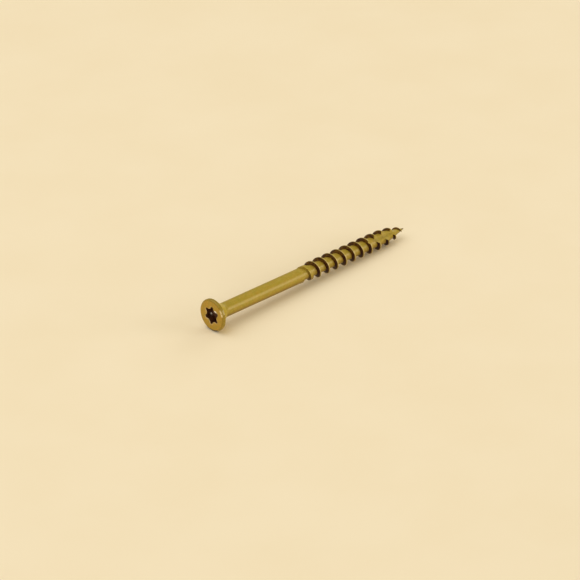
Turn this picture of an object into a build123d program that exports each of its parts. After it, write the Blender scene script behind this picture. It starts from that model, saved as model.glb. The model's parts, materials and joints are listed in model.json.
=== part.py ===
"""Deck screw: one rolled steel piece with a flat countersunk head, a six-lobe drive recess,
a smooth shank, a coarse right-hand thread and a slash-cut point. It lies at rest on the rim of its
head and on a crest of its thread. Millimetres, +Z up, the tip towards +X."""

import os
from math import atan2, ceil, cos, radians, sin, sqrt, tan

from build123d import *

os.makedirs("parts", exist_ok=True)

# Driving sizes of the screw. Lengths along the axis are measured from the flat of the head.
screw_length = 63.5
head_diameter = 7.9
shank_diameter = 3.55
smooth_length = 28.4
thread_diameter = 4.55
core_diameter = 2.9
thread_pitch = 2.9
thread_taper_length = 10.5
point_length = 6.2
head_cone_angle = 90
flank_angle = 20

# Six-lobe drive recess, a size 25: across the lobes, across the waists and down to its floor.
recess_diameter = 4.5
recess_waist = 3.25
recess_depth = 1.85

# Slash cut behind the point: a V-shaped slot with the narrow, curved bottom that a cutting wheel
# leaves, deepest at a distance back from the tip.
slash_from_tip = 6.5
slash_wheel_radius = 21.0
slash_wall_angle = 110

# How the features are turned about the axis, in degrees from the upper side towards the front.
thread_start_angle = 159
recess_roll_angle = 3
slash_roll_angle = 43

# Small sizes of the head and shank, as shares of the diameters and the pitch.
rim_height_share = 0.105
face_edge_share = 0.058
neck_radius_share = 0.75
shoulder_share = 0.1
rim_height = head_diameter * rim_height_share
face_edge_radius = head_diameter * face_edge_share
neck_radius = shank_diameter * neck_radius_share
shoulder_length = thread_pitch * shoulder_share

# Small sizes of the thread: a narrow flat crest, a first turn that starts low and wide on the end
# of the shank and rises, and a crest line that curves in towards the tip.
crest_width_share = 0.085
first_height_share = 0.3
first_width_share = 0.35
lead_share = 0.155
run_in_turns = 1.5
run_in_power = 3
bite_share = 0.1
fade_share = 0.2
tip_share = 0.08
taper_power = 2.5
sections_per_turn = 16
crest_width = thread_pitch * crest_width_share
first_extra_width = thread_pitch * first_width_share
bite = core_diameter * bite_share
tip_radius = core_diameter * tip_share / 2

# Small sizes of the recess and of the slash.
lobe_share = 0.18
recess_floor_share = 0.25
recess_edge_share = 0.025
slash_root_share = 0.1
slash_floor_share = 0.55
lobe_radius = recess_diameter * lobe_share / 2
recess_floor_depth = recess_depth * recess_floor_share
recess_edge = recess_diameter * recess_edge_share
slash_root_width = core_diameter * slash_root_share
slash_floor_radius = core_diameter / 2 * slash_floor_share

# Radii and stations along the axis.
head_radius = head_diameter / 2
shank_radius = shank_diameter / 2
thread_radius = thread_diameter / 2
core_radius = core_diameter / 2
cone_end = rim_height + (head_radius - shank_radius) / tan(radians(head_cone_angle / 2))
core_start = smooth_length + shoulder_length
taper_start = screw_length - thread_taper_length
point_start = screw_length - point_length
ridge_start = smooth_length - thread_pitch * lead_share
ridge_full = ridge_start + thread_pitch * run_in_turns
ridge_end = screw_length - thread_pitch * fade_share


def run_in(station):
    """How far the first turns have grown: none where the thread starts, one when it is full."""
    return min((station - ridge_start) / (ridge_full - ridge_start), 1)


def crest_radius(station):
    """Outer radius of the thread: it rises out of the shank, runs level and curves in to the tip."""
    height_share = first_height_share + (1 - first_height_share) * run_in(station) ** run_in_power
    curved = max((station - taper_start) / thread_taper_length, 0)
    rising = shank_radius + (thread_radius - shank_radius) * height_share
    return rising - (thread_radius - tip_radius) * curved**taper_power


def root_radius(station):
    """Radius of the core between the crests, level and then coned to the tip."""
    coned = max((station - point_start) / point_length, 0)
    return core_radius - (core_radius - tip_radius) * coned


def thread_angle(station):
    """Turn of the thread about the axis at a station."""
    return thread_start_angle + 360 * (station - ridge_start) / thread_pitch


# The screw rests on the rim of the head and on the crest underneath that first meets the floor.
first_under = ridge_start + thread_pitch * ((180 - thread_start_angle) % 360) / 360
turns_under = ceil((ridge_end - first_under) / thread_pitch)
crests_under = [first_under + thread_pitch * turn + crest_width / 2 for turn in range(turns_under)]
lie_angle = min(
    atan2(head_radius - crest_radius(station), station - rim_height) for station in crests_under
)
head_face_height = head_radius * cos(lie_angle) + rim_height * sin(lie_angle)
face_radius = head_radius - face_edge_radius
head_face_x = (face_radius * sin(lie_angle) - screw_length * cos(lie_angle)) / 2
lying = Plane(
    origin=(head_face_x, 0, head_face_height),
    x_dir=(sin(lie_angle), 0, cos(lie_angle)),
    z_dir=(cos(lie_angle), 0, -sin(lie_angle)),
)
screw_axis = Axis(lying.origin, lying.z_dir)


def outward(angle):
    """Direction square to the axis, turned from the upper side towards the front."""
    return lying.x_dir * cos(radians(angle)) + lying.y_dir * sin(radians(angle))


def axial_plane(angle, station):
    """Plane that holds the axis: across is the radius and up is the way to the tip."""
    across = outward(angle)
    return Plane(lying.origin + lying.z_dir * station, across, across.cross(lying.z_dir))


def polar(radius, angle):
    return Vector(radius * cos(radians(angle)), radius * sin(radians(angle)))


with BuildPart() as deck_screw:
    # Turned body: rounded face edge, straight rim, cone, filleted neck, shank, core and point.
    with BuildSketch(axial_plane(0, 0)) as body:
        with BuildLine():
            Polyline(
                (0, 0),
                (head_radius, 0),
                (head_radius, rim_height),
                (shank_radius, cone_end),
                (shank_radius, smooth_length),
                (core_radius, core_start),
                (core_radius, point_start),
                (tip_radius, screw_length),
                (0, screw_length),
                close=True,
            )
        make_face()
        fillet(body.vertices().sort_by_distance((head_radius, 0))[0], face_edge_radius)
        fillet(body.vertices().sort_by_distance((shank_radius, cone_end))[0], neck_radius)
    revolve(axis=screw_axis)

    # Thread: a trapezoid carried along the helix with its foot sunk in the core, in runs that
    # meet at the stations where its height begins to change.
    stations = (ridge_start, ridge_full, taper_start, point_start, ridge_end)
    for start, end in zip(stations, stations[1:]):
        count = max(2, ceil((end - start) / thread_pitch * sections_per_turn))
        for index in range(count + 1):
            station = start + (end - start) * index / count
            crest = crest_radius(station)
            root = root_radius(station)
            foot = root * (1 - bite / core_radius)
            crest_half = crest_width / 2 * (crest - root) / (thread_radius - core_radius)
            extra_width = first_extra_width * (1 - run_in(station) ** 2)
            flank = (crest - foot) * tan(radians(flank_angle))
            with BuildSketch(axial_plane(thread_angle(station), station)):
                with BuildLine():
                    Polyline(
                        (foot, -crest_half - flank),
                        (crest, -crest_half),
                        (crest, crest_half + extra_width),
                        (foot, crest_half + extra_width + flank),
                        close=True,
                    )
                make_face()
        loft()

    # Six-lobe recess: round lobes joined by hollow waists, a coned floor and an eased mouth.
    lobe_centre = recess_diameter / 2 - lobe_radius
    waist = recess_waist / 2
    waist_radius = (lobe_centre**2 + waist**2 - sqrt(3) * lobe_centre * waist - lobe_radius**2) / (
        2 * lobe_radius + sqrt(3) * lobe_centre - 2 * waist
    )
    lobe_part = lobe_radius / (lobe_radius + waist_radius)
    with BuildSketch(Plane(lying.origin, outward(recess_roll_angle), lying.z_dir)) as recess:
        with BuildLine():
            for lobe in range(6):
                middle = 60 * lobe
                here = polar(lobe_centre, middle)
                following = polar(lobe_centre, middle + 60)
                before = polar(waist + waist_radius, middle - 30)
                after = polar(waist + waist_radius, middle + 30)
                lobe_in = here + (before - here) * lobe_part
                lobe_out = here + (after - here) * lobe_part
                next_in = following + (after - following) * lobe_part
                ThreePointArc(lobe_in, polar(recess_diameter / 2, middle), lobe_out)
                ThreePointArc(lobe_out, polar(waist, middle + 30), next_in)
        make_face()
    extrude(amount=recess_depth, mode=Mode.SUBTRACT)
    with BuildSketch(axial_plane(recess_roll_angle, recess_depth)):
        with BuildLine():
            Polyline((0, 0), (waist, 0), (0, recess_floor_depth), close=True)
        make_face()
    revolve(axis=screw_axis, mode=Mode.SUBTRACT)
    head_face = deck_screw.faces().filter_by(GeomType.PLANE).sort_by(screw_axis)[0]
    chamfer(head_face.inner_wires()[0].edges(), recess_edge)

    # Slash cut: the wheel's edge runs in through the crests, dips into the core and runs out again.
    slash_out = outward(slash_roll_angle)
    slash_side = lying.z_dir.cross(slash_out)
    deepest = lying.origin + lying.z_dir * (screw_length - slash_from_tip) + slash_out * slash_floor_radius
    wheel_axis = Axis(deepest + slash_out * slash_wheel_radius, slash_side)
    root_half = slash_root_width / 2
    mouth_half = root_half + thread_diameter * tan(radians(slash_wall_angle / 2))
    with BuildSketch(Plane(deepest, slash_side, lying.z_dir * -1)):
        with BuildLine():
            Polyline(
                (-root_half, 0),
                (root_half, 0),
                (mouth_half, thread_diameter),
                (-mouth_half, thread_diameter),
                close=True,
            )
        make_face()
    revolve(axis=wheel_axis, mode=Mode.SUBTRACT)

deck_screw.part.label = "deck_screw"
export_step(deck_screw.part, "parts/deck_screw.step")
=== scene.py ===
"""Looks of the deck screw: satin tan coating, dark thread flanks partly painted shade, lying on a
plain pale floor.
"""

import json
from math import asin, cos, pi, radians, sin
from types import SimpleNamespace

import bpy
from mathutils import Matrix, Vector

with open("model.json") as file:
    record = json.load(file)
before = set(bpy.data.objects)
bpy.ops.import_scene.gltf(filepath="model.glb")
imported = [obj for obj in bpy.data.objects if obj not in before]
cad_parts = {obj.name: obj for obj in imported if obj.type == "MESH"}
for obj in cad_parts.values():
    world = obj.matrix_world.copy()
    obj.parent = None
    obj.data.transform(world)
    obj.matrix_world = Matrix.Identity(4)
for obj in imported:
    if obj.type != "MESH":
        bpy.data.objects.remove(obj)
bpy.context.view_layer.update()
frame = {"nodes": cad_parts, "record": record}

# The screw's own axis: its origin at the middle of the head's face, pointing to the tip.
recess_mount = next(m for m in frame["record"]["mounts"] if m["name"] == "drive_recess")
axis_origin = Vector(recess_mount["pos_m"])
axis_direction = -Vector(recess_mount["axis"])
lie_angle = asin(-axis_direction.z)

# Sizes along and about that axis, in millimetres.
MM = 0.001
screw_length = 63.5
smooth_length = 28.4
head_radius = 3.95
face_edge = 0.46
rim_height = 0.83
cone_reach = 5.5
lobe_count = 6
recess_radius = 2.25
recess_waist = 1.625
recess_edge = 0.11
recess_reach = 2.4
thread_radius = 2.275
core_radius = 1.45
thread_pitch = 2.9
thread_start = 27.95
point_start = 57.3

# Turns about the axis, from the upper side towards the front.
thread_start_turn = 159 / 360
slash_angle = radians(43)

# Painted highlights: glints at the mouth and on the wall of the recess, as centre and size, and a
# pale streak on the rounded edge of the face, partly painted highlight and partly a scuff in the
# coating.
mouth_glint = ((0.05, -1.27, 1.26), 0.55)
wall_glint = ((1.85, 1.95, -0.95), 0.38)
streak_radii = (3.48, 3.82)
streak_turns = (48 / 360, 74 / 360)
streak_radius_ease = 0.06
streak_turn_ease = 0.012

# Borders between the places of the finish: where each place starts and where it is full, as
# distances in millimetres from the size it belongs to.
face_border = (0.3, 0.03)
edge_border = (-0.1, 0.2)
contact_shade_border = (0.0, 0.2)
rim_border = (0.1, 0.0)
cone_border = (0.0, -1.5)
recess_wall_border = (0.12, 0.02)
recess_end_border = (0.1, 0.0)
recess_lip_border = (-0.033, 0.033)
mouth_border = (0.3, 0.1)
mouth_depth_border = (0.055, 0.0)
thread_border = (-0.6, 0.4)
run_in_border = (0.2, 3.0)
crest_border = (-0.14, -0.04)
lower_crest_band_border = (-0.26, -0.1)
core_border = (0.2, 0.05)
point_border = (0.7, -0.7)
slash_border = (0.02, 0.12)
slash_bottom_border = (0.8, 0.0)
tip_border = (-1.4, -0.4)
under_border = (1.0, 2.0)

# Borders of places that are set by direction. Lift is one on the upper side of the screw and minus
# one underneath. Facing is one towards the tip and minus one towards the head.
contact_shade_lift = (-0.78, -0.92)
lower_crest_band_lift = (0.4, -0.3)
under_lift = (0.2, -0.5)
lit_upper_flank_lift = (-0.1, 0.9)
cone_facing = (0.2, 0.5)
flank_facing = (-0.3, -0.7)

# Borders of the painted light and shade within the root, as shares of the way from one crest to the
# next.
lit_root_phase = (0.4, 0.15)
shaded_root_phase = (0.5, 0.84)

# How brown the flanks' painted shade is at the run-in of the thread, and how much of it gives way
# below.
first_flank_share = 0.15
lower_crest_band_share = 0.6

# Noise of the coating: waves to a millimetre, detail, roughness, and the limits of none and full.
MOTTLES = {
    "blotch": (0.7, 3.0, 0.5, 0.3, 0.7),
    "patch": (1.6, 4.0, 0.6, 0.35, 0.65),
    "fine": (5.0, 3.0, 0.5, 0.3, 0.7),
    "speck": (3.2, 4.0, 0.65, 0.56, 0.66),
}

# Noise that makes the painted glints and the streak uneven: waves to a millimetre, detail, limits,
# middle.
RAGGED_NOISE = (3.5, 3.0)
RAGGED_LIMITS = (0.3, 0.55)
RAGGED_MIDDLE = 0.5

# Gloss, metal share and grain of the coating, the grain's depth in millimetres.
PLAIN_ROUGHNESS = 0.32
FINE_ROUGHNESS = 0.12
SMOOTH_EDGE = 0.14
PLAIN_METALLIC = 0.1
FLANK_METALLIC = 0.3
SPECULAR_LEVEL = 0.4
GRAIN_STRENGTH = 0.25
GRAIN_DEPTH = 0.02
GRAIN_SCALE = 6.0
GRAIN_DETAIL = 4.0


def srgb(red, green, blue):
    """Linear colour of an sRGB colour given in 0 to 255."""
    shares = (c / 255 for c in (red, green, blue))
    return tuple(c / 12.92 if c <= 0.04045 else ((c + 0.055) / 1.055) ** 2.4 for c in shares) + (1.0,)


# Colours of the coating, of its scuffs, of the painted light and shade on it, and of the floor.
OLIVE_TAN = srgb(160, 138, 22)
WARM_TAN = srgb(172, 139, 32)
PALE_TAN = srgb(182, 158, 52)
DUSTY_TAN = srgb(188, 162, 70)
SPECK = srgb(206, 184, 108)
SHADED_TAN = srgb(128, 98, 16)
LIT_CONE_TAN = srgb(196, 170, 54)
FACE_ORANGE = srgb(184, 136, 25)
FACE_OLIVE = srgb(160, 132, 32)
FACE_PALE = srgb(188, 152, 58)
SHADED_EDGE_OLIVE = srgb(140, 114, 28)
CONTACT_SHADE_BROWN = srgb(44, 26, 2)
LIT_ROOT_PALE = srgb(206, 184, 110)
SHADED_ROOT_BROWN = srgb(104, 70, 12)
SLASH_TAN = srgb(190, 166, 62)
SHADED_CREASE_OLIVE = srgb(132, 106, 28)
CREST_SCUFF_AND_HIGHLIGHT = srgb(212, 188, 124)
SHADED_FLANK_DARK = srgb(50, 6, 0)
LIT_FLANK_BROWN = srgb(104, 70, 0)
TIP_BROWN = srgb(96, 72, 24)
RECESS_SHADE_BROWN = srgb(84, 48, 30)
MOUTH_HIGHLIGHT_PALE = srgb(214, 188, 138)
HIGHLIGHT_STREAK_PALE = srgb(244, 220, 166)
GLINT_WHITE = srgb(250, 244, 230)
FLOOR_LOW = srgb(253, 236, 205)
FLOOR_HIGH = srgb(255, 239, 210)


class Nodes:
    """Short calls for building one material's node tree."""

    def __init__(self, name):
        self.material = bpy.data.materials.new(name)
        self.material.use_nodes = True
        self.tree = self.material.node_tree
        self.tree.nodes.clear()

    def add(self, kind, inputs=None, **settings):
        node = self.tree.nodes.new(kind)
        for key, value in settings.items():
            setattr(node, key, value)
        for key, value in (inputs or {}).items():
            if isinstance(value, bpy.types.NodeSocket):
                self.tree.links.new(value, node.inputs[key])
            else:
                node.inputs[key].default_value = value
        return node

    def math(self, operation, a, b=0.0, c=0.0):
        return self.add("ShaderNodeMath", {0: a, 1: b, 2: c}, operation=operation).outputs[0]

    def product(self, first, *others):
        for other in others:
            first = self.math("MULTIPLY", first, other)
        return first

    def largest(self, first, *others):
        for other in others:
            first = self.math("MAXIMUM", first, other)
        return first

    def ramp(self, value, low, high):
        """Smooth step from 0 at low to 1 at high."""
        limits = {0: value, 1: low, 2: high}
        return self.add("ShaderNodeMapRange", limits, interpolation_type="SMOOTHSTEP").outputs[0]

    def border(self, value, size, start, full):
        """Smooth step between two distances from a size."""
        return self.ramp(value, size + start, size + full)

    def band(self, value, low, high, ease):
        """One between low and high, easing to none outside them."""
        rise = self.border(value, low, -ease, ease)
        return self.product(rise, self.border(value, high, ease, -ease))

    def spot(self, vector, centre, size, shift=0.0):
        """One inside a small ball, easing to none at its rim, which the shift makes uneven."""
        gap = self.add("ShaderNodeVectorMath", {0: vector, 1: centre}, operation="DISTANCE")
        return self.ramp(self.math("ADD", gap.outputs["Value"], shift), size, size / 2)

    def mix(self, share, a, b):
        return self.add("ShaderNodeMix", {0: share, 6: a, 7: b}, data_type="RGBA").outputs[2]

    def noise(self, vector, scale, detail, roughness=0.5):
        values = {"Vector": vector, "Scale": scale, "Detail": detail, "Roughness": roughness}
        return self.add("ShaderNodeTexNoise", values).outputs[0]

    def mottle(self, vector, name):
        scale, detail, roughness, low, high = MOTTLES[name]
        return self.ramp(self.noise(vector, scale, detail, roughness), low, high)


def coordinates(n):
    """Where a point lies on the screw, in millimetres about its axis, and how far it faces the tip."""
    source = n.add("ShaderNodeTexCoord")
    placing = {
        "Vector": source.outputs["Object"],
        "Location": axis_origin,
        "Rotation": (0, lie_angle, 0),
        "Scale": (MM, MM, MM),
    }
    local = n.add("ShaderNodeMapping", placing, vector_type="TEXTURE").outputs[0]
    station, aside, lift = n.add("ShaderNodeSeparateXYZ", {0: local}).outputs[:]
    across = n.add("ShaderNodeCombineXYZ", {1: aside, 2: lift}).outputs[0]
    radius = n.add("ShaderNodeVectorMath", {0: across}, operation="LENGTH").outputs["Value"]
    normals = {0: source.outputs["Normal"], 1: axis_direction}
    facing = n.add("ShaderNodeVectorMath", normals, operation="DOT_PRODUCT").outputs["Value"]
    angle = n.math("ARCTAN2", n.math("MULTIPLY", aside, -1.0), lift)
    return SimpleNamespace(
        local=local,
        station=station,
        aside=aside,
        lift=lift,
        radius=radius,
        facing=facing,
        lifted=n.math("DIVIDE", lift, radius),
        angle=angle,
        turn=n.math("DIVIDE", angle, 2 * pi),
    )


def painted_highlights(n, at):
    """Painted glints in the recess and a pale streak on the edge of the face, the streak partly a
    scuff.
    """
    ragged_noise = n.noise(at.local, *RAGGED_NOISE)
    ragged = n.ramp(ragged_noise, *RAGGED_LIMITS)
    on_mouth = n.spot(at.local, *mouth_glint, n.math("SUBTRACT", RAGGED_MIDDLE, ragged_noise))
    on_wall = n.product(n.spot(at.local, *wall_glint), ragged)
    streak = n.product(
        ragged,
        n.band(at.radius, *streak_radii, streak_radius_ease),
        n.band(at.turn, *streak_turns, streak_turn_ease),
        n.ramp(at.station, face_edge, face_edge / 2),
    )
    return SimpleNamespace(glint=n.largest(on_mouth, on_wall), streak=streak)


def head_places(n, at):
    """Face, rounded edge, painted contact shade at the resting edge, cone of the head, recess and
    mouth.
    """
    lobes = n.math("COSINE", n.math("MULTIPLY", at.angle, lobe_count))
    half_depth = (recess_radius - recess_waist) / 2
    outline = n.math("MULTIPLY_ADD", lobes, half_depth, recess_radius - half_depth)
    past_outline = n.math("SUBTRACT", at.radius, outline)
    edge_start = head_radius - face_edge
    edge = n.product(
        n.border(at.radius, edge_start, *edge_border),
        n.border(at.station, rim_height, *rim_border),
    )
    # Painted shade where the head rests: the lowest part of its rounded edge made dark brown.
    contact_shade = n.product(
        edge,
        n.border(at.radius, edge_start, *contact_shade_border),
        n.ramp(at.lifted, *contact_shade_lift),
    )
    cone = n.product(
        n.ramp(at.facing, *cone_facing),
        n.border(at.station, cone_reach, *cone_border),
    )
    recess = n.product(
        n.border(at.radius, recess_radius, *recess_wall_border),
        n.border(at.station, recess_reach, *recess_end_border),
        n.border(at.station, recess_edge, *recess_lip_border),
    )
    mouth = n.product(
        n.ramp(past_outline, *mouth_border),
        n.border(at.station, recess_edge, *mouth_depth_border),
    )
    face = n.ramp(at.station, *face_border)
    return SimpleNamespace(face=face, edge=edge, contact_shade=contact_shade, cone=cone, recess=recess, mouth=mouth)


def thread_places(n, at):
    """Flanks facing the head, crests, painted light and shade in the root, the slash, its shaded
    crease, the tip.
    """
    threaded = n.border(at.station, smooth_length, *thread_border)
    run_in = n.border(at.station, smooth_length, *run_in_border)
    grown = n.math("MULTIPLY_ADD", run_in, 1 - first_flank_share, first_flank_share)
    # Less of the flanks' painted shade near the crest on the underside of the screw.
    lower_crest_band = n.product(
        n.border(at.radius, thread_radius, *lower_crest_band_border),
        n.ramp(at.lifted, *lower_crest_band_lift),
    )
    kept = n.math("MULTIPLY_ADD", lower_crest_band, -lower_crest_band_share, 1.0)

    # Share of the way from one crest to the next, along the axis.
    start_phase = thread_start_turn - thread_start / thread_pitch
    turns = n.math("MULTIPLY_ADD", at.station, 1 / thread_pitch, start_phase)
    phase = n.math("FRACT", n.math("SUBTRACT", turns, at.turn))
    core = n.product(
        threaded,
        n.border(at.radius, core_radius, *core_border),
        n.border(at.station, point_start, *point_border),
    )

    # Depth below the core's own surface, which is coned to the tip.
    coned = n.math("MAXIMUM", n.math("SUBTRACT", at.station, point_start), 0.0)
    surface = n.math("MULTIPLY_ADD", coned, -core_radius / (screw_length - point_start), core_radius)
    depth = n.math("SUBTRACT", surface, at.radius)
    slash = n.product(n.ramp(depth, *slash_border), threaded)
    rise = n.product(at.lift, sin(slash_angle))
    from_bottom = n.math("MULTIPLY_ADD", at.aside, cos(slash_angle), rise)
    near_bottom = n.ramp(n.math("ABSOLUTE", from_bottom), *slash_bottom_border)
    return SimpleNamespace(
        threaded=threaded,
        flank=n.product(n.ramp(at.facing, *flank_facing), threaded, grown, kept),
        crest=n.product(n.border(at.radius, thread_radius, *crest_border), threaded),
        shaded_root=n.product(core, n.ramp(phase, *shaded_root_phase), grown),
        lit_root=n.product(core, n.ramp(phase, *lit_root_phase)),
        slash=slash,
        slash_crease_shade=n.product(slash, near_bottom),
        tip=n.border(at.station, screw_length, *tip_border),
    )


def coating_colour(n, at, head, thread, patch, fine):
    """Mottled olive tan, more orange on the head's face, brown flanks and dark recess partly painted
    shade.
    """
    blotch = n.mottle(at.local, "blotch")
    speck = n.mottle(at.local, "speck")
    highlights = painted_highlights(n, at)
    under = n.product(n.ramp(at.lifted, *under_lift), n.ramp(at.station, *under_border))
    face_dust = 0.3
    face_colour = n.mix(n.product(fine, face_dust), n.mix(patch, FACE_ORANGE, FACE_OLIVE), FACE_PALE)
    # Painted light and shade on the flanks: lighter towards the upper side, darkest underneath.
    lit_upper_flank = n.product(n.ramp(at.lifted, *lit_upper_flank_lift), patch)
    flank_shade_colour = n.mix(lit_upper_flank, SHADED_FLANK_DARK, LIT_FLANK_BROWN)

    # Each layer covers the ones before it: its place, its share there and its colour.
    layers = (
        (patch, 0.5, PALE_TAN),
        (fine, 0.2, DUSTY_TAN),
        (n.product(speck, thread.threaded), 0.4, SPECK),
        (under, 0.7, SHADED_TAN),
        # Painted light: the cone under the head lighter and yellower.
        (head.cone, 0.8, LIT_CONE_TAN),
        (head.face, 0.9, face_colour),
        # Painted shade: the rounded edge and the rim of the head darker olive.
        (head.edge, 0.6, SHADED_EDGE_OLIVE),
        # Painted contact shade at the resting edge of the head.
        (head.contact_shade, 0.95, CONTACT_SHADE_BROWN),
        # Root lighter near one crest and darker near the next flank: painted light and painted shade.
        (thread.lit_root, 0.4, LIT_ROOT_PALE),
        (thread.shaded_root, 0.3, SHADED_ROOT_BROWN),
        (thread.slash, 0.5, SLASH_TAN),
        # Painted shade along the crease at the bottom of the slash.
        (n.product(thread.slash_crease_shade, patch), 0.6, SHADED_CREASE_OLIVE),
        # Paler crests: partly rubbed coating, partly painted highlight.
        (thread.crest, 0.5, CREST_SCUFF_AND_HIGHLIGHT),
        # Flanks facing the head: partly a darker coating, partly painted shade.
        (thread.flank, 1.0, flank_shade_colour),
        (thread.tip, 0.7, TIP_BROWN),
        # Dark brown recess: partly the coating's own darker tone, partly painted shade.
        (head.recess, 1.0, RECESS_SHADE_BROWN),
        # Painted highlight: a pale ring at the mouth of the recess.
        (head.mouth, 0.35, MOUTH_HIGHLIGHT_PALE),
        # Pale streak on the edge of the face: painted highlight, partly a scuff in the coating.
        (highlights.streak, 0.8, HIGHLIGHT_STREAK_PALE),
        # Painted glints at the mouth and on the wall of the recess.
        (highlights.glint, 1.0, GLINT_WHITE),
    )
    colour = n.mix(blotch, OLIVE_TAN, WARM_TAN)
    for place, share, layer_colour in layers:
        colour = n.mix(n.product(place, share), colour, layer_colour)
    return colour


def coated_steel():
    """Satin coating of the screw, smoother on the edges of the head and in the recess."""
    n = Nodes("coated_steel_finish")
    at = coordinates(n)
    head = head_places(n, at)
    thread = thread_places(n, at)
    patch = n.mottle(at.local, "patch")
    fine = n.mottle(at.local, "fine")

    smoother = n.largest(head.edge, head.mouth, head.recess)
    roughness = n.math("MULTIPLY_ADD", fine, FINE_ROUGHNESS, PLAIN_ROUGHNESS)
    grain = {
        "Strength": GRAIN_STRENGTH,
        "Distance": GRAIN_DEPTH * MM,
        "Height": n.noise(at.local, GRAIN_SCALE, GRAIN_DETAIL),
    }
    finish = {
        "Base Color": coating_colour(n, at, head, thread, patch, fine),
        "Roughness": n.math("MULTIPLY_ADD", smoother, -SMOOTH_EDGE, roughness),
        "Normal": n.add("ShaderNodeBump", grain).outputs[0],
        "Metallic": n.math("MULTIPLY_ADD", thread.flank, FLANK_METALLIC, PLAIN_METALLIC),
        "Specular IOR Level": SPECULAR_LEVEL,
    }
    shader = n.add("ShaderNodeBsdfPrincipled", finish)
    n.add("ShaderNodeOutputMaterial", {0: shader.outputs[0]})
    return n.material


# Size of the floor in metres, its roughness, and the noise of its two near colours.
FLOOR_SIZE = 6.0
FLOOR_ROUGHNESS = 0.9
FLOOR_NOISE = (40.0, 3.0)
FLOOR_NOISE_LIMITS = (0.2, 0.8)


def pale_floor():
    n = Nodes("pale_floor")
    place = n.add("ShaderNodeTexCoord").outputs["Object"]
    grain = n.ramp(n.noise(place, *FLOOR_NOISE), *FLOOR_NOISE_LIMITS)
    shade = n.mix(grain, FLOOR_LOW, FLOOR_HIGH)
    shader = n.add("ShaderNodeBsdfPrincipled", {"Base Color": shade, "Roughness": FLOOR_ROUGHNESS})
    n.add("ShaderNodeOutputMaterial", {0: shader.outputs[0]})
    return n.material


# Warm fill light from all round, and lamps a little cooler, so that both are near neutral together.
FILL_COLOUR = (1.0, 0.9, 0.6, 1.0)
FILL_STRENGTH = 0.5
LAMP_COLOUR = (0.97, 1.0, 1.08)
LAMP_DISTANCE = 1.0

# Lamps: compass angle from +Y towards +X and height, in degrees, side in metres and power in watts.
LAMPS = {
    "key": (-50, 62, 1.3, 5.3),
    "tip": (80, 25, 0.6, 1.1),
    "right": (142, 16, 0.45, 2.5),
    "front": (240, 8, 0.3, 1.0),
}


def area_light(name, azimuth, elevation, size, power):
    """Square lamp aimed at the screw."""
    a, e = radians(azimuth), radians(elevation)
    way = Vector((sin(a) * cos(e), cos(a) * cos(e), sin(e)))
    lamp = bpy.data.lights.new(name, "AREA")
    lamp.size = size
    lamp.energy = power
    lamp.color = LAMP_COLOUR
    holder = bpy.data.objects.new(name, lamp)
    holder.location = way * LAMP_DISTANCE
    holder.rotation_euler = way.to_track_quat("Z", "Y").to_euler()
    bpy.context.scene.collection.objects.link(holder)


screw = frame["nodes"]["deck_screw"]
screw.data.materials.clear()
screw.data.materials.append(coated_steel())

# Plain pale floor.
bpy.ops.mesh.primitive_plane_add(size=FLOOR_SIZE)
floor = bpy.context.object
floor.name = "floor"
floor.data.materials.append(pale_floor())

# Soft studio light.
world = bpy.data.worlds.new("studio")
bpy.context.scene.world = world
world.use_nodes = True
background = world.node_tree.nodes["Background"]
background.inputs["Color"].default_value = FILL_COLOUR
background.inputs["Strength"].default_value = FILL_STRENGTH
for lamp_name, lamp_values in LAMPS.items():
    area_light(lamp_name, *lamp_values)

# Camera at the photo's viewing angle: turn from -Y and height, distance in metres and target.
VIEW_AZIMUTH, VIEW_ELEVATION = radians(-44.2), radians(30.6)
VIEW_DISTANCE = 0.7
VIEW_TARGET = Vector((-4.021, 2.540, -1.661)) * MM
FOCAL_PIXELS, IMAGE_WIDTH = 2958.1, 580
SENSOR_WIDTH = 36.0
back = Vector((
    sin(VIEW_AZIMUTH) * cos(VIEW_ELEVATION),
    -cos(VIEW_AZIMUTH) * cos(VIEW_ELEVATION),
    sin(VIEW_ELEVATION),
))
lens = bpy.data.cameras.new("camera")
lens.sensor_width = SENSOR_WIDTH
lens.lens = SENSOR_WIDTH * FOCAL_PIXELS / IMAGE_WIDTH
camera = bpy.data.objects.new("camera", lens)
camera.location = VIEW_TARGET + back * VIEW_DISTANCE
camera.rotation_euler = back.to_track_quat("Z", "Y").to_euler()
bpy.context.scene.collection.objects.link(camera)
bpy.context.scene.camera = camera
bpy.context.scene.view_settings.view_transform = "Standard"
